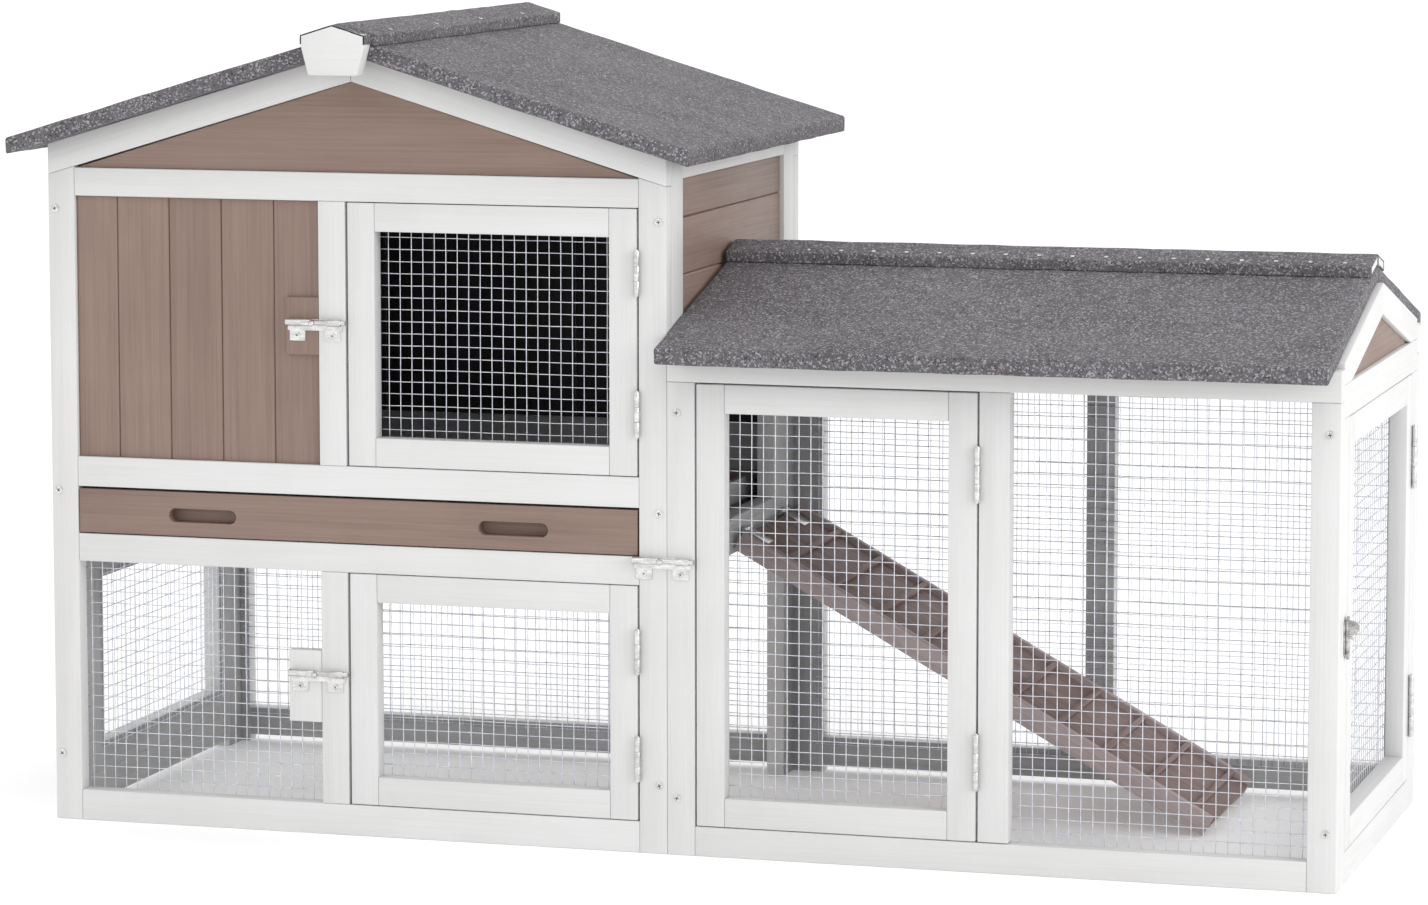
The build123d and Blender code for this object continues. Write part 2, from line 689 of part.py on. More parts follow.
# ---- tray: the floor of the upper storey ----
tray_left = inner_left + 1.6
tray_right = inner_right - 1.8
tray_low = tray_slot_low + 3.3
tray_high = tray_low + 29
tray_back = depth - stock - 12
tray_board = 15               # thickness of the front
tray_board_height = 47
slot_width = 77
slot_height = 15
slot_middles = (173, 522)
slot_level = tray_slot_low + 23.5
with BuildPart() as tray_front:
    board_level = (tray_slot_low + tray_slot_high) / 2 - 0.5
    with BuildSketch(Plane.XZ.offset(middle_y - tray_board)):
        with Locations(((tray_left + tray_right) / 2 - middle_x, board_level)):
            Rectangle(tray_right - tray_left, tray_board_height)
        for slot_x in slot_middles:
            with Locations((slot_x - middle_x, slot_level)):
                SlotOverall(slot_width, slot_height, mode=Mode.SUBTRACT)
    extrude(amount=tray_board)
keep(tray_front, "tray_front")

# a thin floor sheet with low wooden sides, and a thin strip that backs the finger slots
tray_side = 8
slot_backing = 2.6
tray_sheet = 3
floor_left = tray_left + 3
floor_right = tray_right - 3
floor_front = tray_board + joint_line
side_low = tray_low + tray_sheet + joint_line
with BuildPart() as tray_floor:
    stick(floor_left, floor_right, floor_front, tray_back, tray_low, tray_low + tray_sheet)
keep(tray_floor, "tray_floor")

with BuildPart() as tray_sides:
    for left in (floor_left, floor_right - tray_side):
        stick(left, left + tray_side, floor_front, tray_back, side_low, tray_high)
    for front, back in ((floor_front, floor_front + slot_backing), (tray_back - tray_side, tray_back)):
        stick(floor_left + tray_side + joint_line, floor_right - tray_side - joint_line,
              front, back, side_low, tray_high)
keep(tray_sides, "tray_sides")

runner_reach = 60             # the runners reach this far in from the outer faces
runner_height = 14
with BuildPart() as tray_runners:
    for left, right in ((stock + joint_line, runner_reach),
                        (house_width - runner_reach, right_face - joint_line)):
        stick(left, right, side_in, side_out, tray_low - fit_gap - runner_height, tray_low - fit_gap)
keep(tray_runners, "tray_runners")



def pin_spot(y):
    """The place of a ramp hinge pin, its axis from front to back."""
    return Location((ramp_pivot_x - middle_x, y - middle_y, ramp_pivot_z), (90, 0, 0))


# ---- fixed half of every hinge ----
ramp_wall_leaf = 19           # height of the leaf on the house wall
ramp_lug_half = 4             # half the width of a fixed knuckle
ramp_lug = 1.4                # the bridge to a knuckle rises this far over its leaf
with BuildPart() as frame_hinge_leaves:
    for _, right, *_, spans in front_doors.values():
        for z0, z1 in spans:
            door_hinge_fixed(right - hinge_gap / 2, -pin_out, z0, z1, 0)
    for z0, z1 in end_spans:
        door_hinge_fixed(end_pin_x, end_pin_y, z0, z1, 90)
    for across in ramp_hinges:
        leaf_top = ramp_pivot_z - 3
        stick(house_width, house_width + leaf, across - ramp_leaf_half, across + ramp_leaf_half,
              leaf_top - ramp_wall_leaf, leaf_top)
        for side in (-1, 1):
            middle = across + side * ramp_knuckle
            with Locations(pin_spot(middle)):
                Cylinder(ramp_knuckle_radius, 2 * ramp_lug_half)
            stick(house_width, ramp_pivot_x, middle - ramp_lug_half, middle + ramp_lug_half,
                  leaf_top - leaf, leaf_top + ramp_lug)
        with Locations(pin_spot(across)):
            Cylinder(pin_radius, 2 * ramp_leaf_half)
keep(frame_hinge_leaves, "frame_hinge_leaves")

# ---- barrel bolts: start of the barrel on its face, height, turn ----
bolt_reach = bolt_start + bolt_rod_length + bolt_short
bolts = {
    "upper_bolt": (front_doors["upper_door"][0] - bolt_reach, 0, 547, 0),
    "lower_bolt": (front_doors["lower_door"][0] - bolt_reach, 0, 173, 0),
    "run_bolt": (front_doors["run_door"][0] - bolt_reach, 0, 309, 0),
}
with BuildPart() as bolt_barrels:
    for spot in bolts.values():
        bolt_body(*spot)
keep(bolt_barrels, "bolt_barrels")

for name, spot in bolts.items():
    with BuildPart() as rod:
        bolt_rod(*spot)
    keep(rod, name)

# ---- turn catch beside the end door: a plate, and a wing that turns over the door's edge ----
catch_y = 36
catch_z = 255
catch_plate = 1.5
catch_half_width = 9
catch_half_height = 17
catch_pin = 8
grip_reach = 10.5             # how far the thumb grip stands out of the wing
grip_height = 15
grip_up = 10                  # its middle is this far above the pin
wing_length = 44
wing_width = 11
wing_thickness = 2.5
with BuildPart() as end_catch_plate:
    stick(total, total + catch_plate, catch_y - catch_half_width, catch_y + catch_half_width,
          catch_z - catch_half_height, catch_z + catch_half_height)
    with Locations(Location((total + catch_pin / 2 - middle_x, catch_y - middle_y, catch_z), (0, 90, 0))):
        Cylinder(pin_radius, catch_pin)
keep(end_catch_plate, "end_catch_plate")

with BuildPart() as end_catch_wing:
    wing_face = total + catch_plate + fit_gap
    with BuildSketch(Plane.YZ.offset(wing_face - middle_x)):
        with Locations((catch_y - middle_y, catch_z)):
            SlotOverall(wing_length, wing_width, rotation=90)
            Circle(pin_radius + pin_clearance, mode=Mode.SUBTRACT)
    extrude(amount=wing_thickness)
    # the thumb grip: a rounded tab standing on the wing
    grip_foot = wing_face + wing_thickness - joint_line - middle_x
    grip_level = catch_z + grip_up
    with BuildSketch(Plane.XZ.offset(middle_y - catch_y - wing_thickness / 2)):
        with Locations((grip_foot, grip_level)):
            SlotOverall(grip_reach * 2, grip_height)
        with Locations((grip_foot - grip_reach, grip_level)):
            Rectangle(grip_reach * 2, grip_height + 2, mode=Mode.SUBTRACT)
    extrude(amount=wing_thickness)
keep(end_catch_wing, "end_catch_wing")

# small boards beside the middle uprights, which carry the ends of the bolts
latch_plate_left = 270
lower_plate_thickness = 12
with BuildPart() as upper_latch_plate:
    stick(latch_plate_left, middle_stile_left - joint_line, 0, board_recess - joint_line, 512, 573)
keep(upper_latch_plate, "upper_latch_plate")

with BuildPart() as lower_latch_plate:
    stick(latch_plate_left, middle_stile_left - joint_line, 0, lower_plate_thickness, 120, 197)
keep(lower_latch_plate, "lower_latch_plate")

# ---- screws in the faces of the frames ----
screw_in = 8                  # from the outer edge of an upright
small_screw_radius = 3
small_screw_head = 1
with BuildPart() as frame_screws:
    for height in (72, 358, 661):
        screw_front(screw_in, height)
        screw_front(house_width - screw_in, height)
    for height in (60, 464):
        screw_front(run_left + screw_in + 3, height)
        screw_front(total - screw_in - 3, height)
    for spot in bolts.values():
        with Locations(place(*spot)):
            for tab in bolt_tabs:
                screw_face = -plate_thickness - small_screw_head / 2
                with Locations(Location((tab, screw_face, -tab_drop), (90, 0, 0))):
                    Cylinder(small_screw_radius, small_screw_head)
keep(frame_screws, "frame_screws")

# ---- nails along the lower edges of the two ridge caps ----
nail_across = cap_half_width - nail_from_edge
nail_lift = roof_thickness + cap_thickness + 3 * joint_line + nail_head / 2
with BuildPart() as roof_nails:
    for side in (-1, 1):
        spot_x = ridge_x + side * nail_across
        height = house_under(spot_x) + nail_lift
        for number in range(int((roof_back - roof_front) / house_nail_pitch)):
            spot_y = roof_front + house_nail_pitch / 2 + number * house_nail_pitch
            tilt = side * degrees(atan(house_roof_slope))
            with Locations(Location((spot_x - middle_x, spot_y - middle_y, height), (0, tilt, 0))):
                Cylinder(nail_radius, nail_head)
        spot_y = ridge_y + side * nail_across
        height = run_under(spot_y) + nail_lift
        for number in range(int((run_roof_right - run_roof_left) / nail_pitch)):
            spot_x = run_roof_left + nail_pitch / 2 + number * nail_pitch
            tilt = -side * degrees(atan(run_roof_slope))
            with Locations(Location((spot_x - middle_x, spot_y - middle_y, height), (tilt, 0, 0))):
                Cylinder(nail_radius, nail_head)
keep(roof_nails, "roof_nails")
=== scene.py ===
# %% [markdown]
# # A two-storey rabbit hutch with a run
# The timbers, hinges, bolts and roofs already stand where the maker's drawing puts them: that drawing is loaded
# as a fixed frame. This lesson gives each piece the edges, surface and finish of the real one. Lengths are metres.

# %% Load the frame
import json
import math
import random
from contextlib import contextmanager

import bmesh
import bpy
from mathutils import Matrix, Vector, noise

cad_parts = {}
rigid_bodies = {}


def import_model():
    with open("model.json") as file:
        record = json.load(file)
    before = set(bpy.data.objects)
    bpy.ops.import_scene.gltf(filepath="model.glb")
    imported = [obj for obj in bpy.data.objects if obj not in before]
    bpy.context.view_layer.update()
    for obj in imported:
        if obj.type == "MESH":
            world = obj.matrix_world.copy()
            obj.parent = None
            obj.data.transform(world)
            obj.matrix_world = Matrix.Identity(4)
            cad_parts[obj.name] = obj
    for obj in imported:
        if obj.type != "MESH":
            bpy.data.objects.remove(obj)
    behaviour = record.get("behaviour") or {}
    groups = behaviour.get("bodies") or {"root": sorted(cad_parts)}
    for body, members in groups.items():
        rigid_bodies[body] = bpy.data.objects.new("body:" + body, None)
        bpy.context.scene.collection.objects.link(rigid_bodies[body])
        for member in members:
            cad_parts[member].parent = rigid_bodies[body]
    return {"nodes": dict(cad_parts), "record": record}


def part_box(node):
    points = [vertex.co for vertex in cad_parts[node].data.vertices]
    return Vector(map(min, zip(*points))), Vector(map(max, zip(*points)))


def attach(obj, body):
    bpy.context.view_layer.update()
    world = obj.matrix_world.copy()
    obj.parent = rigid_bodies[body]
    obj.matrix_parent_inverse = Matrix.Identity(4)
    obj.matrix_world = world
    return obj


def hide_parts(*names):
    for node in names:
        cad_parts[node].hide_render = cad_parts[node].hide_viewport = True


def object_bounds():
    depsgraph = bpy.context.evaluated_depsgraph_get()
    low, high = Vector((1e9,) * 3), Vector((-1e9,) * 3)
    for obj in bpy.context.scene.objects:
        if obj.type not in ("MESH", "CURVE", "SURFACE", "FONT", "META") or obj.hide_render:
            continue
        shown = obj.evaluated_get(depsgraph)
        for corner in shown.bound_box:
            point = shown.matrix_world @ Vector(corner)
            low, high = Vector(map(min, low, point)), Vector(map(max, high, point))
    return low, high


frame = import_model()
cad_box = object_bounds()
MM = 0.001

# %% [markdown]
# ## Hand tools
# An operator acts on everything that is selected, and a freshly loaded frame is selected all over. Each step could
# keep track of what is selected, but that is easily forgotten, so each step starts by picking one piece alone.

# %% Picking one piece


def pick(piece):
    """Select this piece alone and make it the active one."""
    bpy.ops.object.select_all(action="DESELECT")
    piece.select_set(True)
    bpy.context.view_layer.objects.active = piece
    return piece


# %% [markdown]
# Edit mode has to be left again before the next step, so `shaping` opens a piece and always closes it. `choose` marks
# the faces that pass a test, by their place or direction, as a hand would click them.

# %% Shaping in edit mode


@contextmanager
def shaping(piece, start="DESELECT"):
    """Open a piece in edit mode and close it again; start says what is selected first, None keeps the choice."""
    pick(piece)
    bpy.ops.object.mode_set(mode="EDIT")
    if start:
        bpy.ops.mesh.select_all(action=start)
    yield piece
    bpy.ops.object.mode_set(mode="OBJECT")


def choose(piece, wanted):
    """Select only the faces of a piece that pass a test."""
    with shaping(piece):
        bpy.ops.mesh.select_mode(type="FACE")
    for polygon in piece.data.polygons:
        polygon.select = wanted(polygon)


# %% [markdown]
# A live modifier would be worked out again at every change. Each one here is applied at once, so that the mesh is
# final and the next step can find its faces. `settle` puts a new piece's place into its mesh, and `ease` rounds sharp
# edges, which every real piece has.

# %% Modifiers, places and soft edges


def smooth(piece, degrees):
    """Shade a piece smooth, except over edges sharper than this."""
    pick(piece)
    bpy.ops.object.shade_smooth_by_angle(angle=math.radians(degrees))


def modify(piece, kind, **settings):
    """Add one modifier and apply it at once, so that the mesh is final."""
    pick(piece)
    modifier = piece.modifiers.new(kind.title(), kind)
    for name, value in settings.items():
        setattr(modifier, name, value)
    bpy.ops.object.modifier_apply(modifier=modifier.name)
    return piece


def settle(piece, name):
    """Name a piece and put its place and turn into its mesh, so that its object is at the origin."""
    pick(piece)
    bpy.ops.object.transform_apply(location=True, rotation=True, scale=True)
    piece.name = name
    piece.data.name = name
    return piece


def round_edges(piece, width, segments):
    """Bevel only the edges that are sharp to the eye."""
    modify(piece, "BEVEL", width=width, segments=segments, limit_method="ANGLE", angle_limit=math.radians(40))


def ease(piece, width, segments=2):
    """Round the sharp edges of a piece and smooth what is left."""
    round_edges(piece, width, segments)
    smooth(piece, 38)
    return piece


# %% [markdown]
# ## A piece taken from the frame
# A drawn node is loose triangles with knife-sharp edges, and it may not be changed. Its shape could be built again
# from boxes, but a copy can't drift from the drawing. So a copy is merged, its flat faces are joined again, and the
# copy is then eased or reshaped.

# %% Copying a node
WELD = 0.02 * MM


def take(node, name):
    """A merged copy of a drawn node, with its flat faces whole again."""
    piece = bpy.data.objects.new(name, frame["nodes"][node].data.copy())
    piece.data.name = name
    piece.data.materials.clear()
    bpy.context.scene.collection.objects.link(piece)
    with shaping(piece, "SELECT"):
        bpy.ops.mesh.remove_doubles(threshold=WELD)
        bpy.ops.mesh.dissolve_limited(angle_limit=math.radians(1))
    return piece


# %% [markdown]
# The finished piece stands in the node's place and rides on the node's body, so that a door's timber swings with
# its wires and its hinge leaves.

# %% Standing in for a node
body_of = {member: body for body, members in frame["record"]["behaviour"]["bodies"].items() for member in members}


def stand_for(piece, node, slot, *materials):
    """Let a finished piece take the place of a node, with its finish."""
    piece.data.materials.clear()
    for material in materials:
        piece.data.materials.append(material)
    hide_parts(node)
    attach(piece, body_of[node])
    return piece


print("nodes with a body:", len(body_of))

# %% [markdown]
# ## Separate timbers in one mesh
# A frame is several sticks in one node. Each stick comes from a different plank, so the sticks have to be told
# apart. They could be split into objects, but the node is one piece, so the mesh is walked over its shared edges:
# what hangs together is one stick.

# %% Telling sticks apart


def islands(mesh):
    """The separate solids of a mesh, each as a list of vertex numbers."""
    leader = list(range(len(mesh.vertices)))

    def lead(number):
        while leader[number] != number:
            leader[number] = leader[leader[number]]
            number = leader[number]
        return number

    for edge in mesh.edges:
        leader[lead(edge.vertices[0])] = lead(edge.vertices[1])
    groups = {}
    for vertex in mesh.vertices:
        groups.setdefault(lead(vertex.index), []).append(vertex.index)
    return sorted(groups.values(), key=lambda group: group[0])


# %% [markdown]
# The grain has to run along each stick, whichever way it stands. A UV map named grain holds metres along and across
# the grain, shifted differently for each stick, and an attribute named plank gives each stick a number between 0
# and 1 for its tone. The longest edge of a stick tells its direction, and its end faces show the grain end on.

# %% Grain along each stick
END_ON = 0.8


def lay_grain(piece, seed=1):
    """Give every stick its grain map and its plank number."""
    mesh = piece.data
    draw = random.Random(seed)
    stick_of = {}
    sticks = []
    for number, group in enumerate(islands(mesh)):
        sticks.append({"offset": draw.uniform(0, 9), "plank": draw.random(), "reach": 0.0, "along": None})
        for vertex in group:
            stick_of[vertex] = number
    for edge in mesh.edges:
        start, end = (mesh.vertices[number].co for number in edge.vertices)
        stick = sticks[stick_of[edge.vertices[0]]]
        if (end - start).length > stick["reach"]:
            stick["reach"] = (end - start).length
            stick["along"] = (end - start).normalized()
    grain = mesh.uv_layers.new(name="grain")
    plank = mesh.attributes.new("plank", "FLOAT", "POINT")
    for vertex, number in stick_of.items():
        plank.data[vertex].value = sticks[number]["plank"]
    for polygon in mesh.polygons:
        stick = sticks[stick_of[polygon.vertices[0]]]
        along = stick["along"]
        if abs(polygon.normal.dot(along)) > END_ON:
            along = polygon.normal.orthogonal().normalized()
        across = polygon.normal.cross(along)
        for loop in polygon.loop_indices:
            place = mesh.vertices[mesh.loops[loop].vertex_index].co
            grain.data[loop].uv = (place.dot(along) + stick["offset"], place.dot(across) + stick["offset"])
    return piece


# %% [markdown]
# ## Shader sums in Python
# A material is a small network. Wrapping its sockets lets the sums be written as ordinary expressions, and one
# method makes every other node from its type, its settings and what feeds its sockets.

# %% One socket in a sum


class Signal:
    """One output socket, which adds its own maths nodes when it is used in a sum."""

    def __init__(self, recipe, socket):
        self.recipe = recipe
        self.socket = socket

    def sum(self, operation, first, second):
        return self.recipe.node("ShaderNodeMath", {"operation": operation}, {0: first, 1: second})

    def __add__(self, other):
        return self.sum("ADD", self, other)

    def __radd__(self, other):
        return self.sum("ADD", other, self)

    def __sub__(self, other):
        return self.sum("SUBTRACT", self, other)

    def __rsub__(self, other):
        return self.sum("SUBTRACT", other, self)

    def __mul__(self, other):
        return self.sum("MULTIPLY", self, other)

    def __rmul__(self, other):
        return self.sum("MULTIPLY", other, self)


# %% [markdown]
# A recipe holds one material. Its short methods are the few kinds of node that the finishes need: a place on the
# piece, soft noise, a range, a blend of two colours and a bump.

# %% One material in the making


class Recipe:
    """A material in the making."""

    def __init__(self, name):
        self.material = bpy.data.materials.new(name)
        self.material.use_nodes = True
        self.nodes = self.material.node_tree.nodes
        self.shader = self.nodes["Principled BSDF"]

    def feed(self, socket, value):
        if isinstance(value, Signal):
            self.material.node_tree.links.new(value.socket, socket)
        else:
            socket.default_value = value

    def node(self, kind, settings=None, feeds=None, output=0):
        made = self.nodes.new(kind)
        for name, value in (settings or {}).items():
            setattr(made, name, value)
        for name, value in (feeds or {}).items():
            self.feed(made.inputs[name], value)
        return Signal(self, made.outputs[output])

    def place(self):
        return self.node("ShaderNodeTexCoord", output="Object")

    def grain(self):
        return self.node("ShaderNodeUVMap", {"uv_map": "grain"})

    def plank(self):
        return self.node("ShaderNodeAttribute", {"attribute_name": "plank"}, output="Fac")

    def stretch(self, vector, factors):
        return self.node("ShaderNodeVectorMath", {"operation": "MULTIPLY"}, {0: vector, 1: factors})

    def cloud(self, vector, scale, detail=3.0, roughness=0.5, distortion=0.0):
        return self.node("ShaderNodeTexNoise", None, {"Vector": vector, "Scale": scale, "Detail": detail,
                                                      "Roughness": roughness, "Distortion": distortion})

    def between(self, value, low, high, to_low=0.0, to_high=1.0):
        return self.node("ShaderNodeMapRange", {"clamp": True}, {"Value": value, "From Min": low, "From Max": high,
                                                                "To Min": to_low, "To Max": to_high})

    def blend(self, factor, first, second):
        return self.node("ShaderNodeMix", {"data_type": "RGBA"}, {0: factor, 6: first, 7: second}, 2)

    def bump(self, height, distance):
        return self.node("ShaderNodeBump", None, {"Height": height, "Distance": distance})

    def finish(self, **sockets):
        for name, value in sockets.items():
            self.feed(self.shader.inputs[name.replace("_", " ")], value)
        return self.material


# %% [markdown]
# Paint is judged on a screen, whose numbers from 0 to 255 are not light. A shader adds up light, so each colour is
# turned into the amount of light it sends back.

# %% Colours


def tint(red, green, blue):
    """A colour from its display values (0 to 255), as the linear numbers a shader needs."""
    return tuple(((value / 255 + 0.055) / 1.055) ** 2.4 for value in (red, green, blue)) + (1.0,)


# %% [markdown]
# ## Painted timber
# The frames are planed softwood under thin sprayed paint. The grain still shows as faint long ridges, the tone
# shifts a little from stick to stick, and the paint is a touch thinner and warmer where the grain stands up. A
# picture of wood would repeat and run the wrong way on half the sticks, so noise is stretched along each stick's own
# grain map. One recipe serves the white, the taupe and the stains, and also a grey and a near-black that are painted
# shade on faces looking into the hutch.

# %% Painted timber


def painted_timber(name, coat, shade, streak, gloss, relief):
    """Thin paint over planed timber: coat and shade are its two tones, streak is how far the grain shows."""
    paint = Recipe(name)
    grain = paint.grain()
    fibres = paint.cloud(paint.stretch(grain, (5, 420, 1)), 1.0, 5.0, 0.62, 0.35)
    figure = paint.cloud(paint.stretch(grain, (2.2, 46, 1)), 1.0, 3.0, 0.55, 1.1)
    patches = paint.cloud(paint.place(), 7.0, 3.0, 0.6)
    thin = paint.between(fibres * 0.55 + figure * 0.45, 0.42, 0.66)
    tone = thin * streak + paint.between(patches, 0.35, 0.7) * 0.22 + paint.plank() * 0.22
    specks = paint.cloud(paint.place(), 900.0, 2.0, 0.5)
    height = fibres * 0.6 + figure * 0.5 + specks * 0.12
    return paint.finish(Base_Color=paint.blend(tone, coat, shade),
                        Roughness=paint.between(fibres + patches * 0.5, 0.5, 1.0, gloss - 0.06, gloss + 0.09),
                        Normal=paint.bump(height, relief))


# %% [markdown]
# The finishes differ in their two tones, in how far the grain shows, in gloss and in relief. The ramp is stained
# rather than painted, so its grain shows most. The grey and the near-black are painted shade: the grey for faces that
# look into the hutch, the near-black for the inside of the cabin, which lies in deep shade.

# %% The timber finishes
white_paint = painted_timber("white_paint", tint(217, 217, 217), tint(200, 199, 197), 0.35, 0.42, 0.35 * MM)
taupe_paint = painted_timber("taupe_paint", tint(144, 122, 111), tint(118, 97, 87), 0.55, 0.5, 0.5 * MM)
# painted shade: a grey for the faces that look into the hutch, and for the tray's runners and sides
inner_painted_shade = painted_timber("grey_inner_painted_shade", tint(190, 190, 190), tint(158, 158, 159), 0.5, 0.62, 0.5 * MM)
ramp_stain = painted_timber("ramp_stain", tint(152, 126, 120), tint(108, 86, 82), 0.75, 0.55, 0.6 * MM)
ramp_edge_stain = painted_timber("ramp_edge_stain", tint(184, 168, 168), tint(150, 134, 134), 0.6, 0.55, 0.5 * MM)
# painted shade: near-black for the inner faces of the cabin's boards, which lie in deep shade
cabin_painted_shade = painted_timber("cabin_painted_shade", tint(64, 62, 62), tint(44, 42, 42), 0.6, 0.7, 0.5 * MM)
print("painted timber: 6 finishes")

# %% [markdown]
# ## Roofing felt
# The roofs are boards wrapped in bitumen felt with crushed mineral pressed into it. Close up it is thousands of
# pale and dark grains on a grey-purple ground. Grains as shapes would be millions of faces, so the colour comes from
# small cells and grit with a soft cloud of wear over them, and the same cells stand up as bumps.

# %% Felt


def mineral_felt(name, ground, pale, dark):
    """Felt with pale and dark mineral grains."""
    felt = Recipe(name)
    place = felt.place()
    grains = felt.node("ShaderNodeTexVoronoi", {"feature": "F1"}, {"Vector": place, "Scale": 620.0}, "Color")
    grain_tone = felt.node("ShaderNodeSeparateColor", None, {0: grains}, 0)
    grit = felt.cloud(place, 340.0, 3.0, 0.7)
    wear = felt.cloud(place, 9.0, 4.0, 0.6)
    pitted = felt.cloud(place, 75.0, 3.0, 0.6)
    base = felt.blend(felt.between(wear, 0.35, 0.68) * 0.35 + felt.between(pitted, 0.4, 0.66) * 0.25, ground, dark)
    with_pale = felt.blend(felt.between(grain_tone + grit * 0.7, 1.08, 1.28), base, pale)
    colour = felt.blend(felt.between(grain_tone - grit * 0.8, -0.22, -0.42), with_pale, dark)
    height = grit * 0.7 + grain_tone * 0.35 + pitted * 0.8
    return felt.finish(Base_Color=colour, Roughness=felt.between(grit, 0.3, 0.7, 0.78, 0.95),
                       Normal=felt.bump(height, 1.1 * MM))


roof_felt = mineral_felt("roof_felt", tint(107, 104, 108), tint(156, 153, 158), tint(54, 51, 55))
felt_edge = mineral_felt("felt_edge", tint(46, 44, 47), tint(72, 70, 74), tint(26, 25, 27))
print("roof felt and its cut edge")

# %% [markdown]
# ## Metal
# The wire is hot-dip galvanised: dull grey with paler runs. The hinges and bolts are bright zinc plate: smoother,
# with a few dull spots. A plain shiny grey would look like plastic, so tone and roughness change together over the
# surface, as they do where zinc has dulled.

# %% Wire and zinc plate


def plated(name, bright, dull, low_gloss, high_gloss, relief):
    """Zinc on steel, from bright to dull."""
    metal = Recipe(name)
    place = metal.place()
    runs = metal.cloud(metal.stretch(place, (1, 1, 3)), 60.0, 4.0, 0.6)
    fine = metal.cloud(place, 800.0, 2.0, 0.6)
    mix = metal.between(runs * 0.7 + fine * 0.3, 0.35, 0.65)
    return metal.finish(Base_Color=metal.blend(mix, bright, dull), Metallic=1.0,
                        Roughness=metal.between(mix, 0.0, 1.0, low_gloss, high_gloss),
                        Normal=metal.bump(fine, relief))


wire_zinc = plated("galvanised_wire", tint(240, 241, 246), tint(202, 205, 214), 0.32, 0.5, 0.05 * MM)
zinc_plate = plated("zinc_plate", tint(234, 233, 231), tint(186, 186, 186), 0.18, 0.36, 0.04 * MM)
catch_steel = plated("catch_steel", tint(214, 213, 211), tint(96, 95, 94), 0.2, 0.5, 0.3 * MM)
# painted shade: a darker zinc for the faces down in a screw's cross recess
recess_painted_shade = plated("recess_painted_shade", tint(120, 119, 118), tint(84, 84, 84), 0.45, 0.65, 0.04 * MM)
print("metal: 4 finishes")

# %% [markdown]
# The tray's floor is out of sight under the bedding, so its finish is a guess: hardboard with a smooth grey coat.
# Scraping it clean would leave scuffs from front to back, so the noise is stretched that way.

# %% The tray's sheet


def coated_sheet():
    """The tray's floor: pale grey coated board with scuffs."""
    sheet = Recipe("tray_sheet")
    place = sheet.place()
    scuffs = sheet.between(sheet.cloud(sheet.stretch(place, (14, 3, 3)), 12.0, 5.0, 0.7), 0.52, 0.62)
    return sheet.finish(Base_Color=sheet.blend(scuffs, tint(150, 149, 148), tint(118, 116, 114)),
                        Roughness=sheet.between(scuffs, 0.0, 1.0, 0.38, 0.6),
                        Normal=sheet.bump(sheet.cloud(place, 500.0, 2.0), 0.1 * MM))


tray_sheet = coated_sheet()
print("the tray's sheet")

# %% [markdown]
# ## Frames, boards and doors
# Faces that look into the hutch get painted shade as a second material: grey on the frames, near-black on the
# cabin's boards. They could be painted by hand one by one, but a frame's inner side is one direction, so a face's
# normal tells it.

# %% Which faces look inwards
FACING = 0.7


def faces_back(centre, normal):
    return normal.y > FACING


def faces_front(centre, normal):
    return normal.y < -FACING


def faces_right(centre, normal):
    return normal.x > FACING


def faces_left(centre, normal):
    return normal.x < -FACING


# %% [markdown]
# The wall between cabin and run is the cabin's inner side on one face. On the other it is outside over the run's
# roof, and inside the run under it, so its faces are cut along the roof's two slopes before they are told apart, and
# only the faces under the roof get painted shade.

# %% Where the run's roof meets the wall
RUN_SLOPE = 0.255
ROOF_BOARD = 17.5 * MM
run_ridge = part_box("run_roof_front")[1]
run_ridge.z -= ROOF_BOARD


def under_run_roof(place):
    """Is this place lower than the run's roof, whose two slopes meet over the middle of the run?"""
    return place.z < run_ridge.z - RUN_SLOPE * abs(place.y - run_ridge.y)


def right_wall_inside(centre, normal):
    """The wall between cabin and run is inside the cabin on one face, and inside the run on the other."""
    return faces_left(centre, normal) or (faces_right(centre, normal) and under_run_roof(centre))


def score_roof_line(piece):
    """Cut the faces of a piece where the run's two roof slopes meet the wall."""
    for side in (-1, 1):
        with shaping(piece, "SELECT"):
            bpy.ops.mesh.bisect(plane_co=run_ridge, plane_no=(0, side * RUN_SLOPE, 1))


# %% [markdown]
# Every planed stick has lightly rounded arrises, about a millimetre, which catch the light. The copy of a node is
# eased, its grain is laid, and it gets its coat and, where it has an inner side, its second finish, which is painted
# shade on all but the tray's sides.

# %% One node of timber
ARRIS = 0.9 * MM


def timber(node, slot, coat, inner, looks_inside, seed):
    """A node of painted sticks or boards with eased arrises and its own grain."""
    piece = ease(take(node, node + "_timber"), ARRIS)
    lay_grain(piece, seed)
    if looks_inside is right_wall_inside:
        score_roof_line(piece)
    if not inner:
        return stand_for(piece, node, slot, coat)
    stand_for(piece, node, slot, coat, inner)
    for polygon in piece.data.polygons:
        if looks_inside(polygon.center, polygon.normal):
            polygon.material_index = 1
    return piece
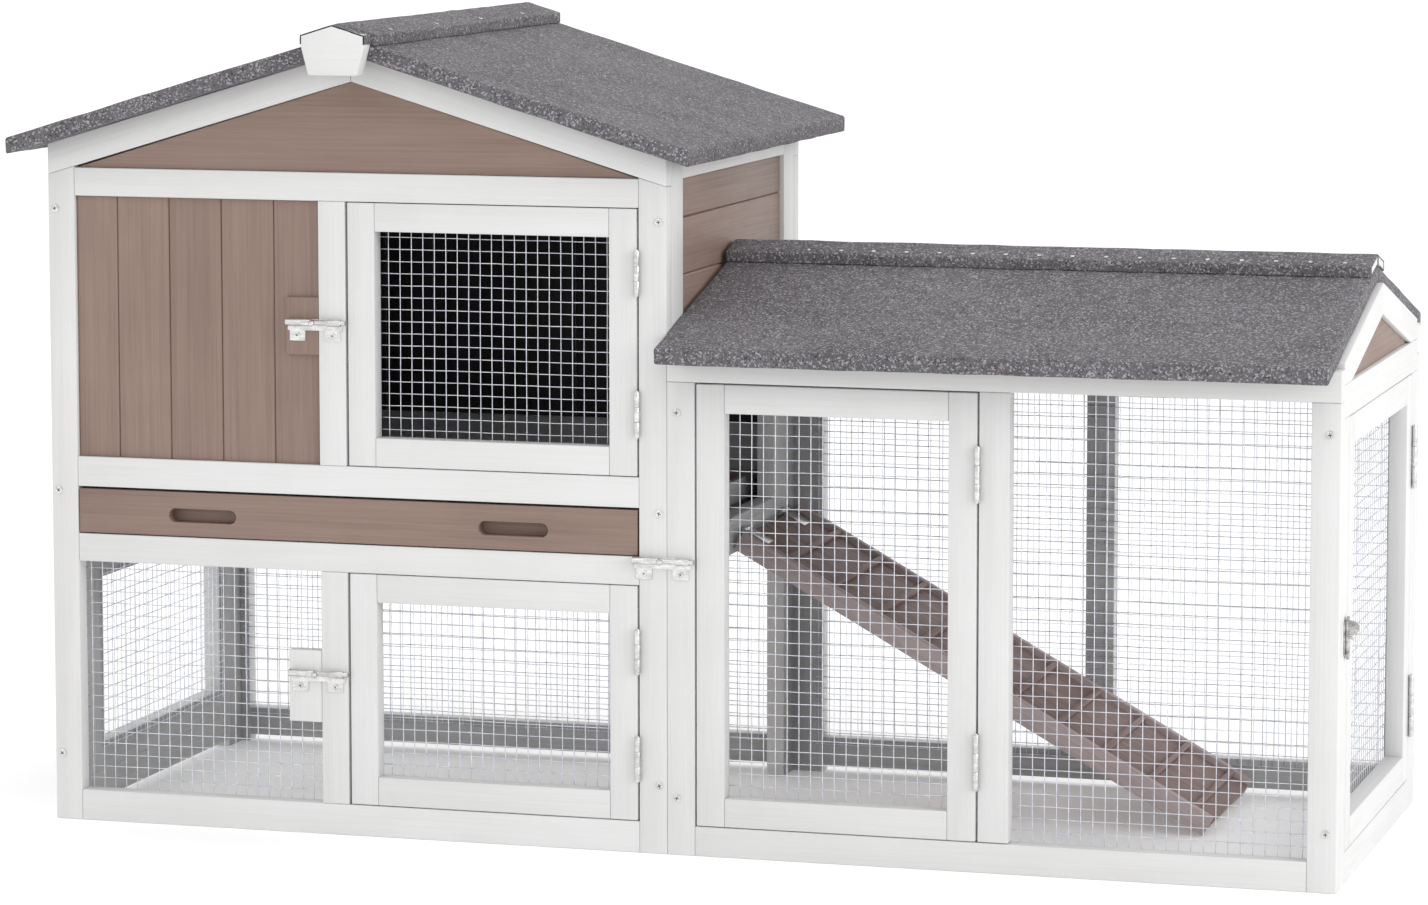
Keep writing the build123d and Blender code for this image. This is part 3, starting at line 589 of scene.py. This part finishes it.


# %% [markdown]
# The whole list of timber: node, slot, coat, then the finish of its inner side and how to tell that side. A list is
# shorter than a step for each and keeps the finishes together, where they can be compared. The grey and near-black
# inner finishes are painted shade, and so is the grey coat of the tray's runners and sides.

# %% The frames and doors
timbers = [
    ("house_front_stiles", "white_paint", white_paint, inner_painted_shade, faces_back),
    ("house_front_rails", "white_paint", white_paint, inner_painted_shade, faces_back),
    ("house_rafters", "white_paint", white_paint, None, None),
    ("house_back_frame", "white_paint", white_paint, inner_painted_shade, faces_front),
    ("house_left_frame", "white_paint", white_paint, inner_painted_shade, faces_right),
    ("house_right_frame", "white_paint", white_paint, inner_painted_shade, right_wall_inside),
    ("run_front_stiles", "white_paint", white_paint, inner_painted_shade, faces_back),
    ("run_front_rails", "white_paint", white_paint, inner_painted_shade, faces_back),
    ("run_back_frame", "white_paint", white_paint, inner_painted_shade, faces_front),
    ("run_end_frame", "white_paint", white_paint, inner_painted_shade, faces_left),
    ("run_end_rafters", "white_paint", white_paint, inner_painted_shade, faces_left),
    ("upper_door_frame", "white_paint", white_paint, inner_painted_shade, faces_back),
    ("lower_door_frame", "white_paint", white_paint, inner_painted_shade, faces_back),
    ("run_door_frame", "white_paint", white_paint, inner_painted_shade, faces_back),
    ("end_door_frame", "white_paint", white_paint, inner_painted_shade, faces_left),
    ("lower_latch_plate", "white_paint", white_paint, None, None),
    ("tray_runners", "white_paint", inner_painted_shade, None, None),
    ("house_front_gable_board", "taupe_paint", taupe_paint, cabin_painted_shade, faces_back),
    ("house_front_boards", "taupe_paint", taupe_paint, cabin_painted_shade, faces_back),
    ("house_back_boards", "taupe_paint", taupe_paint, cabin_painted_shade, faces_front),
    ("house_left_boards", "taupe_paint", taupe_paint, cabin_painted_shade, faces_right),
    ("house_right_boards", "taupe_paint", taupe_paint, cabin_painted_shade, right_wall_inside),
    ("run_end_gable_board", "taupe_paint", taupe_paint, inner_painted_shade, faces_left),
    ("upper_latch_plate", "taupe_paint", taupe_paint, None, None),
    ("tray_front", "taupe_paint", taupe_paint, None, None),
    ("tray_sides", "taupe_paint", inner_painted_shade, taupe_paint, faces_front),
    ("ramp_deck", "ramp_stain", ramp_stain, None, None),
    ("ramp_cleats", "ramp_stain", ramp_stain, None, None),
    ("ramp_side_strips", "ramp_stain", ramp_edge_stain, None, None),
]
for number, (node, slot, coat, inner, looks_inside) in enumerate(timbers, 1):
    timber(node, slot, coat, inner, looks_inside, number)
print("timber pieces:", len(timbers))

# %% [markdown]
# ## The tray's floor
# The floor of the cabin is a coated sheet in the tray. Its long edges are only just rounded.

# %% Tray floor
tray_floor = ease(take("tray_floor", "tray_floor_sheet"), 0.5 * MM)
stand_for(tray_floor, "tray_floor", "tray_sheet", tray_sheet)

# %% [markdown]
# ## Felted roofs
# A felted board has soft edges where the felt is folded round it, and the felt lies a little unevenly. A cloth
# could be draped over it, but glued felt hardly moves. So each slab is cut into a fine grid by bisecting it, and its
# skin is then moved in or out by a smooth noise.

# %% Uneven skin


def slice_up(piece, axis, step):
    """Cut a piece across one axis every step."""
    normal = [0, 0, 0]
    normal[axis] = 1
    places = [vertex.co[axis] for vertex in piece.data.vertices]
    start, length = min(places), max(places) - min(places)
    count = round(length / step)
    with shaping(piece):
        for number in range(1, count):
            point = [0, 0, 0]
            point[axis] = start + length * number / count
            bpy.ops.mesh.select_all(action="SELECT")
            bpy.ops.mesh.bisect(plane_co=point, plane_no=normal)


def unsettle(piece, size, amount):
    """Move each vertex by a smooth noise, as hand-laid felt lies unevenly."""
    for vertex in piece.data.vertices:
        vertex.co += noise.noise_vector(vertex.co / size) * amount
        vertex.co += noise.noise_vector(vertex.co / (size * 0.28) + Vector((7, 3, 1))) * amount * 0.35


# %% [markdown]
# The end of the run's ridge cap is not wrapped: white wood shows inside a thin edge of felt. The end face is inset
# and set back a little, which is how the real felt stands proud of the wood.

# %% The cap's bare end
SQUARE_ON = 0.99


def bare_end(piece):
    """Leave the board's end bare inside a thin edge of felt."""
    choose(piece, lambda polygon: polygon.normal.x > SQUARE_ON)
    with shaping(piece, None):
        bpy.ops.mesh.inset(thickness=0.5 * MM, depth=-0.8 * MM, use_individual=True)
    for polygon in piece.data.polygons:
        if polygon.select and polygon.normal.x > SQUARE_ON:
            polygon.material_index = 1
    with shaping(piece):
        bpy.ops.mesh.select_mode(type="VERT")


# %% [markdown]
# The felt is folded more sharply over the narrow boards of the caps than over the roofs, and a narrow board needs a
# finer grid to show the same unevenness.

# %% Roofs and ridge caps
GRAIN_SEED = 61


def felted(node, fold, step):
    """A felt-covered board or cap, rounded by fold and slightly uneven."""
    piece = lay_grain(take(node, node + "_felt"), GRAIN_SEED)
    round_edges(piece, fold, 3)
    if node == "run_ridge_cap":
        bare_end(piece)
    slice_up(piece, 0, step)
    slice_up(piece, 1, step)
    unsettle(piece, 45 * MM, 0.75 * MM)
    smooth(piece, 50)
    coats = [polygon.material_index for polygon in piece.data.polygons]
    stand_for(piece, node, "roof_felt", roof_felt, white_paint)
    piece.data.polygons.foreach_set("material_index", coats)


for node in ("house_roof_left", "house_roof_right", "run_roof_front", "run_roof_back"):
    felted(node, 2.6 * MM, 16 * MM)
for node in ("house_ridge_cap", "run_ridge_cap"):
    felted(node, 1.6 * MM, 12 * MM)
print("felted pieces: 6")

# %% [markdown]
# ## The finial
# A white block closes the front end of the ridge. It is cut from one piece, and its edges are rounder than those of
# the frames, so it is eased more.

# %% The white block
finial = ease(take("ridge_finial", "ridge_finial_block"), 1.6 * MM, 3)
lay_grain(finial, 51)
stand_for(finial, "ridge_finial", "white_paint", white_paint)
print("finial faces:", len(finial.data.polygons))

# %% [markdown]
# The cap's felt is folded over the block's two sloping tops and a little way down its sides. The flap could be part
# of the block, but it is a sheet with a dark cut edge, so a grid is laid along each slope, turned down at the side,
# given its thickness, and wrinkled like the roof.

# %% Two felt flaps
finial_low, finial_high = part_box("ridge_finial")
CAP_SLOPE = 0.30
FLAP = 1.5 * MM
FLAP_DROP = 9 * MM
half = (finial_high.x - finial_low.x) / 2
finial_x = finial_low.x + half
for side, word in ((-1, "left"), (1, "right")):
    bpy.ops.object.select_all(action="DESELECT")
    bpy.ops.mesh.primitive_grid_add(x_subdivisions=14, y_subdivisions=8, size=1)
    flap = bpy.context.object
    flap.location = (finial_x + side * (half + FLAP_DROP) / 2, (finial_low.y + finial_high.y) / 2, 0)
    flap.scale = (half + FLAP_DROP, finial_high.y - finial_low.y, 1)
    settle(flap, "finial_flap_" + word)
    for vertex in flap.data.vertices:
        reach = abs(vertex.co.x - finial_x)
        down = max(0.0, reach - half)
        reach = min(reach, half - 0.2 * MM)
        vertex.co.x = finial_x + side * reach
        vertex.co.z = finial_high.z - CAP_SLOPE * reach - down - FLAP * 0.4
    modify(flap, "SOLIDIFY", thickness=FLAP, offset=0)
    with shaping(flap, "SELECT"):
        bpy.ops.mesh.normals_make_consistent(inside=False)
    unsettle(flap, 20 * MM, 0.25 * MM)
    smooth(flap, 50)
    flap.data.materials.append(roof_felt)
    flap.data.materials.append(felt_edge)
    for polygon in flap.data.polygons:
        if faces_front(polygon.center, polygon.normal):
            polygon.material_index = 1
    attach(flap, "hutch")
print("felt flaps: 2")

# %% [markdown]
# ## Welded mesh
# Half-inch welded mesh is upright wires with level wires welded across them. A flat picture of wires would vanish
# from the side, so the wires are real. One short length is modelled, arrayed up into a wire, closed at its ends, and
# arrayed again into a row.

# %% A row of wires
PITCH = 12.7 * MM
WIRE = 1.05 * MM


def wires(length, count, name):
    """Upright wires side by side: a ring of corners at every crossing, capped at both ends."""
    cells = round(length / PITCH)
    cell = length / cells
    bpy.ops.object.select_all(action="DESELECT")
    bpy.ops.mesh.primitive_cylinder_add(vertices=6, radius=WIRE / 2, depth=cell, end_fill_type="NOTHING",
                                        location=(0, 0, cell / 2))
    row = settle(bpy.context.object, name)
    modify(row, "ARRAY", count=cells, use_relative_offset=False, use_constant_offset=True,
           constant_offset_displace=(0, 0, cell), use_merge_vertices=True, merge_threshold=WELD)
    with shaping(row, "SELECT"):
        bpy.ops.mesh.fill_holes(sides=8)
    modify(row, "ARRAY", count=count, use_relative_offset=False, use_constant_offset=True,
           constant_offset_displace=(PITCH, 0, 0))
    row.data.transform(Matrix.Translation(((1 - count) * PITCH / 2, 0, 0)))
    return row


# %% [markdown]
# The level wires are a second row, laid on its side. They lie against the uprights, a little sunk into them, as a
# weld leaves them.

# %% A flat sheet
SINK = 0.9


def crossed(width, height, name):
    """A flat welded sheet, centred on X and standing on Z = 0, with its level wires behind the uprights."""
    sheet = wires(height, int(width / PITCH) + 1, name)
    level = wires(width, int(height / PITCH) + 1, name + "_level")
    level.data.transform(Matrix.Rotation(math.pi / 2, 4, "Y"))
    level.data.transform(Matrix.Translation((-width / 2, WIRE * SINK, height / 2)))
    pick(sheet)
    level.select_set(True)
    bpy.ops.object.join()
    return sheet


# %% [markdown]
# A sheet is stapled to the back of its frame, with its uprights against the wood. It is never quite flat, so all its
# wires follow one gentle noise, which keeps the welds together and never pushes a wire into the wood.

# %% A sheet in its opening


def hang(sheet, low, high, axis, inwards):
    """Turn a sheet square to an axis and set its uprights against the back of its frame."""
    turn = Matrix.Identity(4) if axis else Matrix.Rotation(math.pi / 2, 4, "Z")
    if (inwards > 0) == (axis == 0):
        turn = turn @ Matrix.Rotation(math.pi, 4, "Z")
    place = (low + high) / 2
    place.z = low.z
    near = WIRE / 2 + 0.05 * MM
    place[axis] = low[axis] + near if inwards > 0 else high[axis] - near
    sheet.data.transform(Matrix.Translation(place) @ turn)


def sway(sheet, axis, inwards):
    """Move all wires by one gentle noise, in their plane and away from their frame."""
    along = 1 - axis
    for vertex in sheet.data.vertices:
        drift = noise.noise_vector(vertex.co * 9) * 0.9 * MM + noise.noise_vector(vertex.co * 60) * 0.28 * MM
        vertex.co[along] += drift[along] * 0.4
        vertex.co[axis] += abs(drift[axis]) * 0.9 * inwards
        vertex.co.z += drift.z


def mesh_sheet(node, inwards):
    """Replace a drawn mesh by its real wires. inwards is the direction away from the frame it is stapled to."""
    low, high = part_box(node)
    size = high - low
    axis = 0 if size.x < size.y else 1
    sheet = crossed(size[1 - axis], size.z, node + "_wires")
    hang(sheet, low, high, axis, inwards)
    sway(sheet, axis, inwards)
    smooth(sheet, 70)
    stand_for(sheet, node, "galvanised_wire", wire_zinc)
    return len(sheet.data.polygons)


# %% [markdown]
# Nine sheets, each with the side on which the hutch's inside lies: 1 towards the back or the right, -1 the other way.

# %% All the sheets
inward = {"house_front_mesh": 1, "house_back_mesh": -1, "house_left_mesh": 1, "run_front_mesh": 1,
          "run_back_mesh": -1, "upper_door_mesh": 1, "lower_door_mesh": 1, "run_door_mesh": 1, "end_door_mesh": -1}
for node, direction in inward.items():
    print(node, "faces:", mesh_sheet(node, direction))

# %% [markdown]
# ## Bolts, hinges and the catch
# The folded and rolled steel parts already have their real shape; the catch has weathered darker than the rest.
# Their edges are stamped, so they only need a fine rounding to shine like metal.

# %% Metal fittings
fittings = ["frame_hinge_leaves", "upper_door_hinge_leaves", "lower_door_hinge_leaves", "run_door_hinge_leaves",
            "end_door_hinge_leaves", "ramp_hinge_leaves", "bolt_barrels", "upper_bolt", "lower_bolt", "run_bolt",
            "end_catch_plate", "end_catch_wing"]
for node in fittings:
    coat = catch_steel if "catch" in node else zinc_plate
    stand_for(ease(take(node, node + "_plated"), 0.25 * MM), node, "zinc_plate", coat)
print("metal fittings:", len(fittings))

# %% [markdown]
# ## Screws and nails
# A head could be set by hand on every screw, but the drawing already has a disc at each. The discs are told apart as
# the sticks were, and each gives its middle, its direction and its radius.

# %% Where the heads sit


def seats(node):
    """The middle, the direction of one flat side and the radius of every head in a node."""
    mesh = frame["nodes"][node].data.copy()
    work = bmesh.new()
    work.from_mesh(mesh)
    bmesh.ops.remove_doubles(work, verts=work.verts, dist=0.01 * MM)
    work.to_mesh(mesh)
    work.free()
    found = []
    for group in islands(mesh):
        inside = set(group)
        middle = sum((mesh.vertices[number].co for number in group), Vector()) / len(group)
        radius = max((mesh.vertices[number].co - middle).length for number in group)
        normals = [polygon.normal.copy() for polygon in mesh.polygons if polygon.vertices[0] in inside]
        flat = max(normals, key=lambda normal: sum(other.dot(normal) > 0.999 for other in normals))
        found.append((middle, flat, radius))
    bpy.data.meshes.remove(mesh)
    return found


# %% [markdown]
# Each head is modelled once at the origin, facing up, with a radius of one. Its copies are then stamped into one mesh,
# because the drawing has them as one node.

# %% Stamping copies


def stamp(pattern, places, name):
    """One mesh with a copy of the pattern at every place."""
    work = bmesh.new()
    for matrix in places:
        before = len(work.verts)
        work.from_mesh(pattern.data)
        work.verts.ensure_lookup_table()
        bmesh.ops.transform(work, matrix=matrix, verts=work.verts[before:])
    mesh = bpy.data.meshes.new(name)
    work.to_mesh(mesh)
    work.free()
    made = bpy.data.objects.new(name, mesh)
    bpy.context.scene.collection.objects.link(made)
    for material in pattern.data.materials:
        mesh.materials.append(material)
    bpy.data.objects.remove(pattern)
    return made


# %% [markdown]
# A cross-head screw is a low dome with a cross cut into it. The dome is a disc whose top is inset twice, and the
# cross is two bars taken away from it, which gives the crisp walls that the driver needs. The faces down in the
# cross get a darker zinc, which is painted shade.

# %% A screw head


def screw_head():
    """A domed head of unit radius with a cross recess."""
    bpy.ops.object.select_all(action="DESELECT")
    bpy.ops.mesh.primitive_cylinder_add(vertices=24, radius=1, depth=0.3)
    head = bpy.context.object
    choose(head, lambda polygon: polygon.normal.z > 0.9)
    with shaping(head, None):
        bpy.ops.mesh.inset(thickness=0.18, depth=0.1)
        bpy.ops.mesh.inset(thickness=0.25, depth=0.06)
    for turn in (0, math.pi / 2):
        bpy.ops.object.select_all(action="DESELECT")
        bpy.ops.mesh.primitive_cube_add(size=1, location=(0, 0, 0.26), rotation=(0, 0, turn))
        cutter = bpy.context.object
        cutter.scale = (1.05, 0.22, 0.5)
        settle(cutter, "cutter")
        modify(head, "BOOLEAN", operation="DIFFERENCE", object=cutter, solver="EXACT")
        bpy.data.objects.remove(cutter)
    head.data.materials.append(zinc_plate)
    head.data.materials.append(recess_painted_shade)
    # painted shade: the faces down in the cross get the darker zinc
    for polygon in head.data.polygons:
        if polygon.center.z < 0.2 and (polygon.center.xy.length < 0.7) and polygon.normal.z > -0.5:
            polygon.material_index = 1
    smooth(head, 40)
    return head


# %% [markdown]
# A roofing nail's head is a thin disc with a soft rim, hammered flat on the felt.

# %% A nail head


def nail_head():
    """A thin disc of unit radius with a soft rim."""
    bpy.ops.object.select_all(action="DESELECT")
    bpy.ops.mesh.primitive_cylinder_add(vertices=16, radius=1, depth=0.24)
    head = bpy.context.object
    ease(head, 0.08)
    head.data.materials.append(zinc_plate)
    return head


# %% [markdown]
# A screw stops at any turn of its cross, so each head is turned by a drawn angle. Of the two flat sides of a disc, a
# head stands on the one that looks away from the hutch.

# %% Heads on their seats


def seat_matrix(middle, normal, radius, turn):
    """The place of one head: size, turn, direction and middle."""
    return (Matrix.Translation(middle) @ normal.to_track_quat("Z", "Y").to_matrix().to_4x4()
            @ Matrix.Rotation(turn, 4, "Z") @ Matrix.Diagonal((radius, radius, radius, 1)))


def toward_outside(middle, normal):
    """Of the two flat sides of a disc, the one that looks away from the hutch."""
    centre = (cad_box[0] + cad_box[1]) / 2
    return normal if normal.dot(middle - centre) > 0 else -normal


draw = random.Random(7)
for node, pattern in (("frame_screws", screw_head), ("roof_nails", nail_head)):
    places = [seat_matrix(middle, toward_outside(middle, normal), radius, draw.uniform(0, math.pi))
              for middle, normal, radius in seats(node)]
    heads = stamp(pattern(), places, node + "_heads")
    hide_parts(node)
    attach(heads, "hutch")
    print(node, len(places))

# %% [markdown]
# ## Floor, light and camera
# The hutch stands on a plain pale floor that glows a little, like a light table, so that the shade under the roofs
# and inside the mesh stays soft.

# %% Floor
bpy.ops.object.select_all(action="DESELECT")
bpy.ops.mesh.primitive_plane_add(size=60, location=(0, 0, -0.2 * MM))
floor = bpy.context.object
floor.name = "studio_floor"
floor.data.materials.append(Recipe("studio_floor").finish(
    Base_Color=(0.93, 0.93, 0.93, 1.0), Roughness=0.8, Emission_Color=(1.0, 1.0, 1.0, 1.0), Emission_Strength=0.15))
print("floor laid")

# %% [markdown]
# Three large soft lights: a gentle key from the front left, a stronger fill from the right for the end of the run,
# and one above for the roofs. Small lamps would give hard shadows of every wire.

# %% Lights


def softbox(name, place, target, size, watts):
    """A square area light that looks at a point."""
    light = bpy.data.lights.new(name, "AREA")
    light.shape = "SQUARE"
    light.size = size
    light.energy = watts
    lamp = bpy.data.objects.new(name, light)
    lamp.location = place
    lamp.rotation_euler = (Vector(target) - Vector(place)).to_track_quat("-Z", "Y").to_euler()
    bpy.context.scene.collection.objects.link(lamp)


softbox("key", (-2.4, -4.2, 3.0), (0, 0, 0.4), 2.6, 9)
softbox("fill", (4.6, -1.6, 2.0), (0, 0, 0.4), 2.4, 74)
softbox("top", (0, -0.5, 4.2), (0, 0, 0), 3.0, 16)
print("lights: 3")

# %% [markdown]
# A bright even surround lights the hutch from all round, as a white studio does, and gives the metal something to
# reflect.

# %% Surround
world = bpy.data.worlds.new("studio")
bpy.context.scene.world = world
world.use_nodes = True
surround = world.node_tree.nodes["Background"]
surround.inputs["Color"].default_value = (1.0, 1.0, 1.0, 1.0)
surround.inputs["Strength"].default_value = 1.03
print("surround strength:", round(surround.inputs["Strength"].default_value, 2))

# %% [markdown]
# The camera looks from the front right, from a little above the ridge, with a long lens, so that upright timbers
# stay nearly parallel.

# %% Camera
lens = bpy.data.cameras.new("camera")
lens.sensor_width = 36
lens.lens = 128.79
lens.shift_y = -0.0718
lens.clip_end = 100
camera = bpy.data.objects.new("camera", lens)
camera.location = (1.5421, -5.2768, 1.0827)
camera.rotation_euler = (math.radians(83.97), math.radians(0.04), math.radians(16.52))
bpy.context.scene.collection.objects.link(camera)
bpy.context.scene.camera = camera
bpy.context.scene.view_settings.view_transform = "Standard"
print("camera height:", round(camera.location.z, 3))
